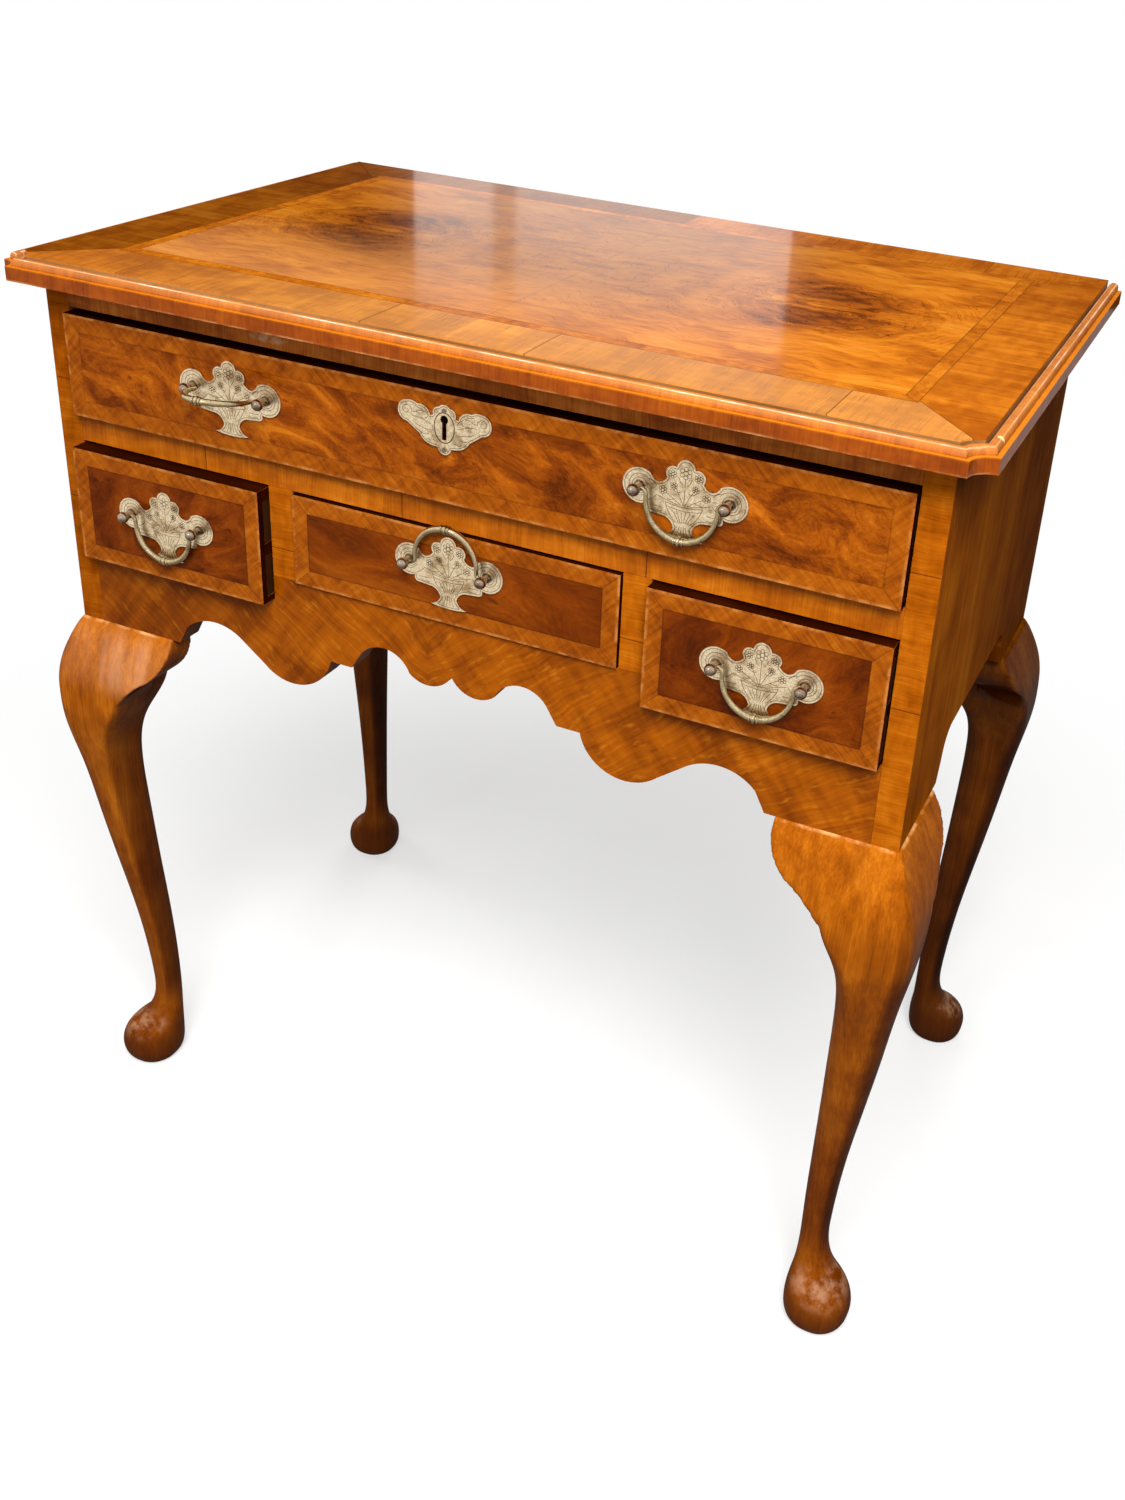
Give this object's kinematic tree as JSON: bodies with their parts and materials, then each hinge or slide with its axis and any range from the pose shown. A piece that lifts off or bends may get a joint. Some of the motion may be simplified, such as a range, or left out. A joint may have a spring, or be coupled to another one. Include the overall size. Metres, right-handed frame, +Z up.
{
  "type": "chest of drawers",
  "caption": "Walnut lowboy chest of drawers with a long drawer over smaller ones, shaped apron, cabriole legs on pad feet and swinging brass bail handles.",
  "frame": {"origin": "on the floor, under the middle of the outline at rest", "axes": "+Z up, the drawers face -Y, +X to the viewer's right"},
  "size_m": [0.744, 0.4804, 0.767],
  "materials": {
    "figured_walnut": "French-polished figured walnut veneer",
    "crossband": "French-polished cross-grain walnut",
    "walnut": "polished solid walnut",
    "oak": "bare oak drawer linings",
    "pine": "bare aged pine",
    "brass": "worn engraved brass",
    "steel": "darkened iron"
  },
  "bodies": {
    "case": {"back_board": "pine", "back_left_leg": "walnut", "back_rail": "pine", "back_right_leg": "walnut", "drawer_kickers": "pine", "drawer_partitions": "pine", "drawer_stops": "pine", "frieze_rail": "crossband", "front_apron": "figured_walnut", "front_left_leg": "walnut", "front_right_leg": "walnut", "knee_brackets": "walnut", "left_side": "walnut", "left_stile": "crossband", "leg_screws": "steel", "long_drawer_runners": "pine", "middle_rail": "crossband", "muntins": "crossband", "right_side": "walnut", "right_stile": "crossband", "small_drawer_runners": "pine", "top_board": "pine", "top_crossband": "crossband", "top_edge_moulding": "crossband", "top_featherband": "crossband", "top_field_veneer": "figured_walnut", "top_screws": "steel"},
    "long_drawer": {"escutcheon": "brass", "escutcheon_pins": "brass", "lock_bolt": "steel", "lock_case": "steel", "long_drawer_back": "oak", "long_drawer_bottom": "oak", "long_drawer_front": "figured_walnut", "long_drawer_sides": "oak", "long_handle_plates": "brass", "long_handle_posts": "brass"},
    "left_drawer": {"left_drawer_back": "oak", "left_drawer_bottom": "oak", "left_drawer_front": "figured_walnut", "left_drawer_sides": "oak", "left_handle_plate": "brass", "left_handle_posts": "brass"},
    "centre_drawer": {"centre_drawer_back": "oak", "centre_drawer_bottom": "oak", "centre_drawer_front": "figured_walnut", "centre_drawer_sides": "oak", "centre_handle_plate": "brass", "centre_handle_posts": "brass"},
    "right_drawer": {"right_drawer_back": "oak", "right_drawer_bottom": "oak", "right_drawer_front": "figured_walnut", "right_drawer_sides": "oak", "right_handle_plate": "brass", "right_handle_posts": "brass"},
    "long_left_bail": {"long_left_bail": "brass"},
    "long_right_bail": {"long_right_bail": "brass"},
    "left_bail": {"left_bail": "brass"},
    "centre_bail": {"centre_bail": "brass"},
    "right_bail": {"right_bail": "brass"}
  },
  "joints": [
    {"name": "long_drawer_slide", "type": "slide", "parent": "case", "child": "long_drawer", "axis": [0, -1, 0], "range_m": [-0.0073, 0.27]},
    {"name": "left_drawer_slide", "type": "slide", "parent": "case", "child": "left_drawer", "axis": [0, -1, 0], "range_m": [-0.0131, 0.27]},
    {"name": "centre_drawer_slide", "type": "slide", "parent": "case", "child": "centre_drawer", "axis": [0, -1, 0], "range_m": [-0.0025, 0.27]},
    {"name": "right_drawer_slide", "type": "slide", "parent": "case", "child": "right_drawer", "axis": [0, -1, 0], "range_m": [-0.0098, 0.27]},
    {"name": "long_left_bail_hinge", "type": "hinge", "parent": "long_drawer", "child": "long_left_bail", "pos_m": [-0.177, -0.206, 0.6933], "axis": [-1, 0, 0], "range_deg": [-99, 83]},
    {"name": "long_right_bail_hinge", "type": "hinge", "parent": "long_drawer", "child": "long_right_bail", "pos_m": [0.177, -0.206, 0.6933], "axis": [-1, 0, 0], "range_deg": [-1, 181]},
    {"name": "left_bail_hinge", "type": "hinge", "parent": "left_drawer", "child": "left_bail", "pos_m": [-0.2405, -0.2118, 0.5807], "axis": [-1, 0, 0], "range_deg": [-1, 181]},
    {"name": "centre_bail_hinge", "type": "hinge", "parent": "centre_drawer", "child": "centre_bail", "pos_m": [0, -0.2012, 0.5964], "axis": [-1, 0, 0], "range_deg": [-182, 0]},
    {"name": "right_bail_hinge", "type": "hinge", "parent": "right_drawer", "child": "right_bail", "pos_m": [0.2405, -0.2085, 0.5807], "axis": [-1, 0, 0], "range_deg": [-1, 181]}
  ]
}
